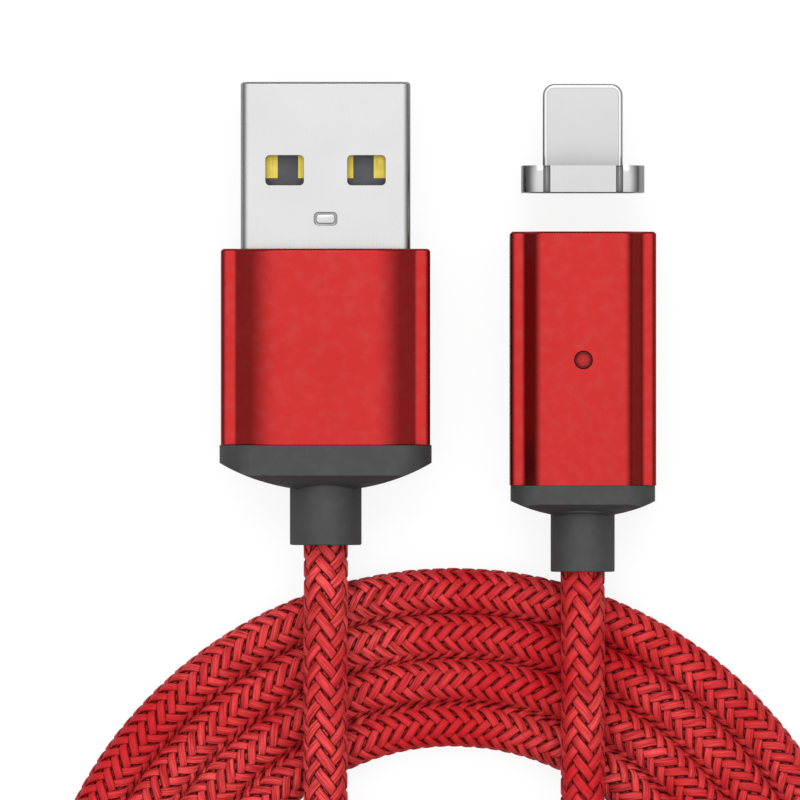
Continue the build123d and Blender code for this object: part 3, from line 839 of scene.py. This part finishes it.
finishes["crimp_steel"] = base_finish(
    "crimp_steel", (0.36, 0.35, 0.33), (0.29, 0.28, 0.26), metallic=1.0, gloss=(0.25, 0.45),
    grain_size=0.15, stretch=(1, 0.2, 1), depth=0.002, wear=(0.5, 0.5, 0.48),
)
finishes["gold"] = base_finish(
    "gold", (0.40, 0.325, 0.06), (0.34, 0.265, 0.045), metallic=1.0, gloss=(0.2, 0.35),
    drift_size=1.0, grain_size=0.08, stretch=ALONG_Y, depth=0.0003, wear=(0.7, 0.5, 0.2), wear_width=0.03,
)
print(f"{len(finishes)} metals")

# %% [markdown]
# ## Plastics and the board
#
# The caps and strain reliefs are one soft grey plastic with a fine moulded texture.  The block in the plug
# is a harder, smoother black, and the tongue's pad a pale glassy grey.  Inside there are white mouldings,
# four coloured wires, and a green board whose solder mask shows the glass cloth under it as faint squares.

# %% Plastics
finishes["cap_grey"] = base_finish(
    "cap_grey", (0.037, 0.037, 0.0375), (0.034, 0.034, 0.0345), gloss=(0.5, 0.62), drift_size=4.0,
    grain_size=0.09, depth=0.002, wear=(0.055, 0.055, 0.055), dusty=0.02, Specular_IOR_Level=0.25,
)
finishes["relief_grey"] = base_finish(
    "relief_grey", (0.041, 0.041, 0.0415), (0.037, 0.037, 0.0375), gloss=(0.52, 0.64), drift_size=3.0,
    grain_size=0.08, depth=0.002, wear=(0.055, 0.055, 0.055), dusty=0.02, Specular_IOR_Level=0.25,
)
# Painted shade: the block goes near black where it lies deep inside the shell.
finishes["black_plastic"] = base_finish(
    "black_plastic", (0.085, 0.088, 0.11), (0.065, 0.068, 0.085), gloss=(0.3, 0.45), grain_size=0.1,
    depth=0.0015, wear=(0.09, 0.09, 0.1), painted_shade=(0.002, 0.002, 0.003), painted_shade_reach=6.0,
    painted_shade_from=(0.32, 0.12),
)
finishes["tongue_grey"] = base_finish(
    "tongue_grey", (0.445, 0.445, 0.445), (0.425, 0.425, 0.43), gloss=(0.3, 0.4), drift_size=4.0,
    grain_size=0.06, depth=0.0008, wear=(0.55, 0.55, 0.55), wear_width=0.03,
)
finishes["mould_white"] = base_finish(
    "mould_white", (0.62, 0.61, 0.57), (0.55, 0.54, 0.50), gloss=(0.4, 0.55), grain_size=0.2,
    depth=0.003, wear=(0.68, 0.67, 0.64), Subsurface_Weight=0.1, Subsurface_Scale=0.0003,
)
finishes["inner_jacket"] = base_finish(
    "inner_jacket", (0.10, 0.012, 0.012), (0.08, 0.01, 0.01), gloss=(0.4, 0.55), grain_size=0.12,
    stretch=ALONG_Y, depth=0.002, wear=(0.14, 0.03, 0.03),
)
finishes["chip_black"] = base_finish(
    "chip_black", (0.025, 0.025, 0.026), (0.018, 0.018, 0.019), gloss=(0.45, 0.6), grain_size=0.05,
    depth=0.0015, wear=(0.06, 0.06, 0.06), wear_width=0.04,
)
finishes["led_package"] = base_finish(
    "led_package", (0.7, 0.66, 0.5), (0.6, 0.55, 0.36), gloss=(0.3, 0.45), drift_size=0.5,
    grain_size=0.05, depth=0.001, wear=(0.75, 0.72, 0.6), wear_width=0.03,
)
wire_colours = {
    "red": (0.5, 0.02, 0.015), "white": (0.65, 0.64, 0.6), "green": (0.03, 0.28, 0.06),
    "black": (0.02, 0.02, 0.02),
}
for word, colour in wire_colours.items():
    finishes[f"wire_{word}"] = base_finish(
        f"wire_{word}", colour, tuple(0.8 * c for c in colour), gloss=(0.3, 0.45), grain_size=0.15,
        stretch=ALONG_Y, depth=0.0015, drift_size=1.5,
    )
print(f"{len(finishes)} finishes so far")

# %% The board: solder mask over glass cloth
RADIANS_PER_YARN = 6283  # a full turn, 2 pi, for sizes given in mm and places in metres
CLOTH_SHARE = 0.4  # how strongly the cloth shows through the mask


def make_cloth():
    """The weave of glass cloth: squares that are high where one yarn lies on top."""
    tree, given, out = new_group("cloth", [("Size", "number", 0.4)], [("Height", "number")])
    place_on = add(tree, "ShaderNodeTexCoord").outputs["Object"]
    axes = add(tree, "ShaderNodeSeparateXYZ", {0: place_on}).outputs
    turns = [
        calculated(tree, "SINE", calculated(
            tree, "MULTIPLY", calculated(tree, "DIVIDE", axis, given["Size"]), RADIANS_PER_YARN
        ))
        for axis in (axes["X"], axes["Y"])
    ]
    product = calculated(tree, "MULTIPLY", *turns)
    feed(tree, out["Height"], ranged(tree, product, -1, 1))
    return tree


def board_finish():
    """Green solder mask, paler where the cloth under it stands high."""
    material = base_finish(
        "board_green", (0.012, 0.12, 0.035), (0.01, 0.10, 0.03), gloss=(0.22, 0.34), grain_size=0.2,
        depth=0.001, wear=(0.2, 0.22, 0.12),
    )
    tree = material.node_tree
    shader = tree.nodes["Principled BSDF"]
    height = use(tree, make_cloth(), size=0.4)["Height"]
    paint = shader.inputs["Base Color"].links[0].from_socket
    share = calculated(tree, "MULTIPLY", height, CLOTH_SHARE)
    feed(tree, shader.inputs["Base Color"], mixed(tree, share, paint, (0.02, 0.16, 0.05, 1)))
    return material


finishes["board_green"] = board_finish()
print("the board's finish is made")

# %% [markdown]
# ## The light
#
# A small clear window in the top of the head passes the glow of the light under it.  Off, it looks like a
# dark ring round a paler middle, because a short light pipe is bright where one looks straight down it.
# That could be modelled as glass, but a pipe this small only makes noise in the picture.  A colour that
# depends on the distance from the window's axis gives the same look and survives the export.

# %% The window over the light
RING_SHARE = 0.85
# Colours from the window's axis (0) to its rim (1): the pale middle is painted light from the pipe.
ring_stops = (
    (0.0, (0.36, 0.012, 0.012, 1)), (0.5, (0.29, 0.009, 0.009, 1)), (0.78, (0.05, 0.002, 0.002, 1)),
)


def lens_finish():
    """A dark ring round a paler middle, painted light in place of the light pipe's glow."""
    low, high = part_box("light_lens")
    middle = ((low.x + high.x) / 2, (low.y + high.y) / 2, 0)
    material = base_finish("light_lens", (0.3, 0.02, 0.02), (0.26, 0.015, 0.015), gloss=(0.15, 0.25),
                           grain_size=0.1, depth=0.0005, drift_size=0.5, Specular_IOR_Level=0.1)
    tree = material.node_tree
    shader = tree.nodes["Principled BSDF"]
    here = add(tree, "ShaderNodeTexCoord").outputs["Object"]
    flat = add(tree, "ShaderNodeVectorMath", {0: here, 1: (1, 1, 0)}, operation="MULTIPLY").outputs[0]
    gap = add(tree, "ShaderNodeVectorMath", {0: flat, 1: middle}, operation="DISTANCE").outputs["Value"]
    share = calculated(tree, "DIVIDE", gap, (high.x - low.x) / 2)
    ring = add(tree, "ShaderNodeValToRGB", {"Fac": share})
    ring.color_ramp.interpolation = "EASE"
    set_stops(ring.color_ramp, ring_stops)
    paint = shader.inputs["Base Color"].links[0].from_socket
    feed(tree, shader.inputs["Base Color"], mixed(tree, RING_SHARE, paint, ring.outputs[0]))
    return material


finishes["light_lens"] = lens_finish()
print("the window over the light is made")

# %% [markdown]
# ## The braid's finish
#
# A yarn is a flat bundle of a few dozen fibres.  They show as streaks along it, some paler, and broad pale
# patches on them are painted highlights.  The bundle is painted darker at its edges, a painted shade where
# it dives under the next one.  The braid mesh carries a UV map that counts millimetres along a yarn and
# the way across it, so noise that is long in one and short in the other runs along every yarn, whichever
# way it winds.

# %% Fibres
def make_fibres():
    """Streaks on a yarn: height, tone whose pale patches are painted highlights, and how near its edge."""
    inputs = [("Streaks", "number", 9.0), ("Run", "number", 0.7)]
    outputs = [("Height", "number"), ("Shade", "number"), ("Painted edge shade", "number")]
    tree, given, out = new_group("fibres", inputs, outputs)
    along_and_across = add(tree, "ShaderNodeUVMap", uv_map="yarn").outputs[0]
    axes = add(tree, "ShaderNodeSeparateXYZ", {0: along_and_across}).outputs
    u = calculated(tree, "MULTIPLY", axes["X"], given["Run"])
    v = calculated(tree, "MULTIPLY", axes["Y"], given["Streaks"])
    place_on = add(tree, "ShaderNodeCombineXYZ", {"X": u, "Y": v}).outputs[0]
    fine = add(tree, "ShaderNodeTexNoise", {"Vector": place_on, "Scale": 1.0, "Detail": 2.0}).outputs[0]
    broad = add(tree, "ShaderNodeTexNoise", {"Vector": place_on, "Scale": 0.23, "Detail": 1.0}).outputs[0]
    feed(tree, out["Height"], fine)
    fine_part = calculated(tree, "MULTIPLY", fine, 0.6)
    both = calculated(tree, "ADD", fine_part, calculated(tree, "MULTIPLY", broad, 0.4))
    feed(tree, out["Shade"], ranged(tree, both, 0.38, 0.62))
    # How near a point is to its yarn's edge, which is where the painted shade goes.
    across = calculated(tree, "MODULO", axes["Y"], UV_STEP)
    off = calculated(tree, "ABSOLUTE", calculated(tree, "SUBTRACT", across, 0.5))
    feed(tree, out["Painted edge shade"], ranged(tree, off, 0.3, 0.5))
    return tree


fibres = make_fibres()
print("fibres:", [socket.name for socket in fibres.interface.items_tree])

# %% Yarn and core
FIBRE_HEIGHT = 0.07 * MM


def yarn_finish():
    """Red fibres of uneven tone, pale patches of painted highlight, and painted shade at the yarn's edges.
    """
    material = bpy.data.materials.new("cord_yarn")
    material.use_nodes = True
    tree = material.node_tree
    shader = tree.nodes["Principled BSDF"]
    threads = use(tree, fibres, streaks=8.0, run=0.6)
    # Fibre tone: streaks of random tone; its pale end, in broad patches, is a painted highlight.
    paint = mixed(tree, threads["Shade"], (0.22, 0.004, 0.006, 1), (0.80, 0.075, 0.075, 1))
    paint = use(tree, drift, colour=paint, second=(0.43, 0.008, 0.012, 1), size=9.0)["Colour"]
    # Painted shade: the yarn turns dark towards its edges, where it dives under the next one.
    paint = mixed(tree, threads["Painted edge shade"], paint, (0.10, 0.0015, 0.003, 1))
    rough = ranged(tree, threads["Height"], 0.3, 0.7, 0.6, 0.42)
    relief = {"Height": threads["Height"], "Distance": FIBRE_HEIGHT, "Strength": 1.0}
    bump = add(tree, "ShaderNodeBump", relief)
    feed(tree, shader.inputs["Base Color"], paint)
    feed(tree, shader.inputs["Roughness"], rough)
    feed(tree, shader.inputs["Normal"], bump.outputs[0])
    shader.inputs["Specular IOR Level"].default_value = 0.35
    shader.inputs["Specular Tint"].default_value = (1, 0.35, 0.35, 1)
    shader.inputs["Sheen Weight"].default_value = 0.06
    shader.inputs["Sheen Tint"].default_value = (1, 0.3, 0.3, 1)
    return material


core_finish = base_finish(
    "cord_core", (0.05, 0.0015, 0.002), (0.035, 0.001, 0.0015), gloss=(0.6, 0.75), grain_size=0.1,
    depth=0.004,
)
cord.data.materials.append(yarn_finish())
cord.data.materials.append(core_finish)
print("cord:", [material.name for material in cord.data.materials])

# %% Give every piece its finish
for name, piece in [*nodes.items(), *softened.items()]:
    piece.data.materials.clear()
    piece.data.materials.append(finishes.get(slot_of[name], core_finish))
for spring in springs:
    spring.data.materials.append(finishes["spring_steel"])
print("slots without a finish of their own:", {slot for slot in slot_of.values() if slot not in finishes})

# %% [markdown]
# ## Light and floor
#
# The cable lies in a light tent: an even white ceiling, brightest overhead and falling away towards the
# sides.  That fall is what shows the form of the sleeves, as their slopes look out at the darker sides.
# A world whose brightness depends on height does that with no lamp to place.  One large lamp beyond the
# connectors, towards +Y, gives the coil a soft side to its shadows.  The floor is white, and the camera
# sees most of it as even light, so that only the soft core of a shadow is left.  An occlusion mask takes
# that even light away in deep gaps, such as between the turns, which paints shade there.

# %% The tent
scene = bpy.context.scene
scene.view_settings.view_transform = "Standard"
TENT_STRENGTH = 2.3
BACKDROP = (0.9, 0.9, 0.9, 1)  # what the camera sees past the floor
# Brightness by the height of the direction, from the horizon (0) to overhead (1).
tent_stops = ((0.0, 0.10), (0.2, 0.14), (0.42, 0.24), (0.68, 0.52), (0.92, 0.92), (1.0, 1.0))


def make_tent():
    """A world that lights by height, and that the camera sees as one plain colour."""
    world = bpy.data.worlds.new("tent")
    world.use_nodes = True
    scene.world = world
    tree = world.node_tree
    tree.nodes.clear()
    way = add(tree, "ShaderNodeTexCoord").outputs["Generated"]
    height = add(tree, "ShaderNodeSeparateXYZ", {0: way}).outputs["Z"]
    ramp = add(tree, "ShaderNodeValToRGB", {"Fac": height})
    set_stops(ramp.color_ramp, [(where, (value, value, value, 1)) for where, value in tent_stops])
    tent = add(tree, "ShaderNodeBackground", {"Color": ramp.outputs["Color"], "Strength": TENT_STRENGTH})
    backdrop = add(tree, "ShaderNodeBackground", {"Color": BACKDROP, "Strength": 1.0})
    seen = add(tree, "ShaderNodeLightPath").outputs["Is Camera Ray"]
    mix = add(tree, "ShaderNodeMixShader", {0: seen, 1: tent.outputs[0], 2: backdrop.outputs[0]})
    add(tree, "ShaderNodeOutputWorld", {"Surface": mix.outputs[0]})


make_tent()
print("tent stops:", len(tent_stops))

# %% The lamp and the floor
LAMP_POWER = 0.7  # watts
LAMP_SIZE = 0.3
LAMP_PLACE = (0, 0.28, 0.42)
FLOOR_REACH = 1.5  # from the middle to each edge
FLOOR_HEIGHT = -0.02 * MM  # a hair under the cable, so that nothing touches it
EVEN_LIGHT = 1.18
EVEN_SHARE = 0.72  # how much of the open floor is seen as even light
GAP_REACH = 2 * MM  # how near a piece has to be to close the floor in


def make_lamp():
    """A large soft lamp beyond the connectors, turned to the middle of the floor."""
    data = bpy.data.lights.new("side_lamp", "AREA")
    data.energy = LAMP_POWER
    data.size = LAMP_SIZE
    lamp = bpy.data.objects.new("side_lamp", data)
    lamp.location = LAMP_PLACE
    lamp.rotation_euler = (-Vector(lamp.location)).to_track_quat("-Z", "Y").to_euler()
    scene.collection.objects.link(lamp)


def make_floor():
    """A white floor, of which the camera sees a part as even light, except in deep gaps, where shade is
    painted.
    """
    signs = ((-1, -1), (1, -1), (1, 1), (-1, 1))
    corners = np.array([(x * FLOOR_REACH, y * FLOOR_REACH, FLOOR_HEIGHT) for x, y in signs])
    floor = mesh_object("floor", corners, np.array([[0, 1, 2, 3]]))
    material = base_finish("floor", (0.5, 0.5, 0.5), (0.49, 0.49, 0.49), gloss=(0.8, 0.9),
                           drift_size=40.0, grain_size=0.5, depth=0.002)
    tree = material.node_tree
    even = add(tree, "ShaderNodeEmission", {"Color": (1, 1, 1, 1), "Strength": EVEN_LIGHT})
    seen = add(tree, "ShaderNodeLightPath").outputs["Is Camera Ray"]
    # Painted shade: an occlusion mask takes the even light away where the floor is closed in, as between
    # turns.
    sky_share = add(tree, "ShaderNodeAmbientOcclusion", {"Distance": GAP_REACH}, samples=8).outputs["AO"]
    open_share = ranged(tree, sky_share, 0.05, 0.4)
    share = calculated(tree, "MULTIPLY", calculated(tree, "MULTIPLY", seen, open_share), EVEN_SHARE)
    shader = tree.nodes["Principled BSDF"]
    mix = add(tree, "ShaderNodeMixShader", {0: share, 1: shader.outputs[0], 2: even.outputs[0]})
    feed(tree, tree.nodes["Material Output"].inputs["Surface"], mix.outputs[0])
    floor.data.materials.append(material)


make_lamp()
make_floor()
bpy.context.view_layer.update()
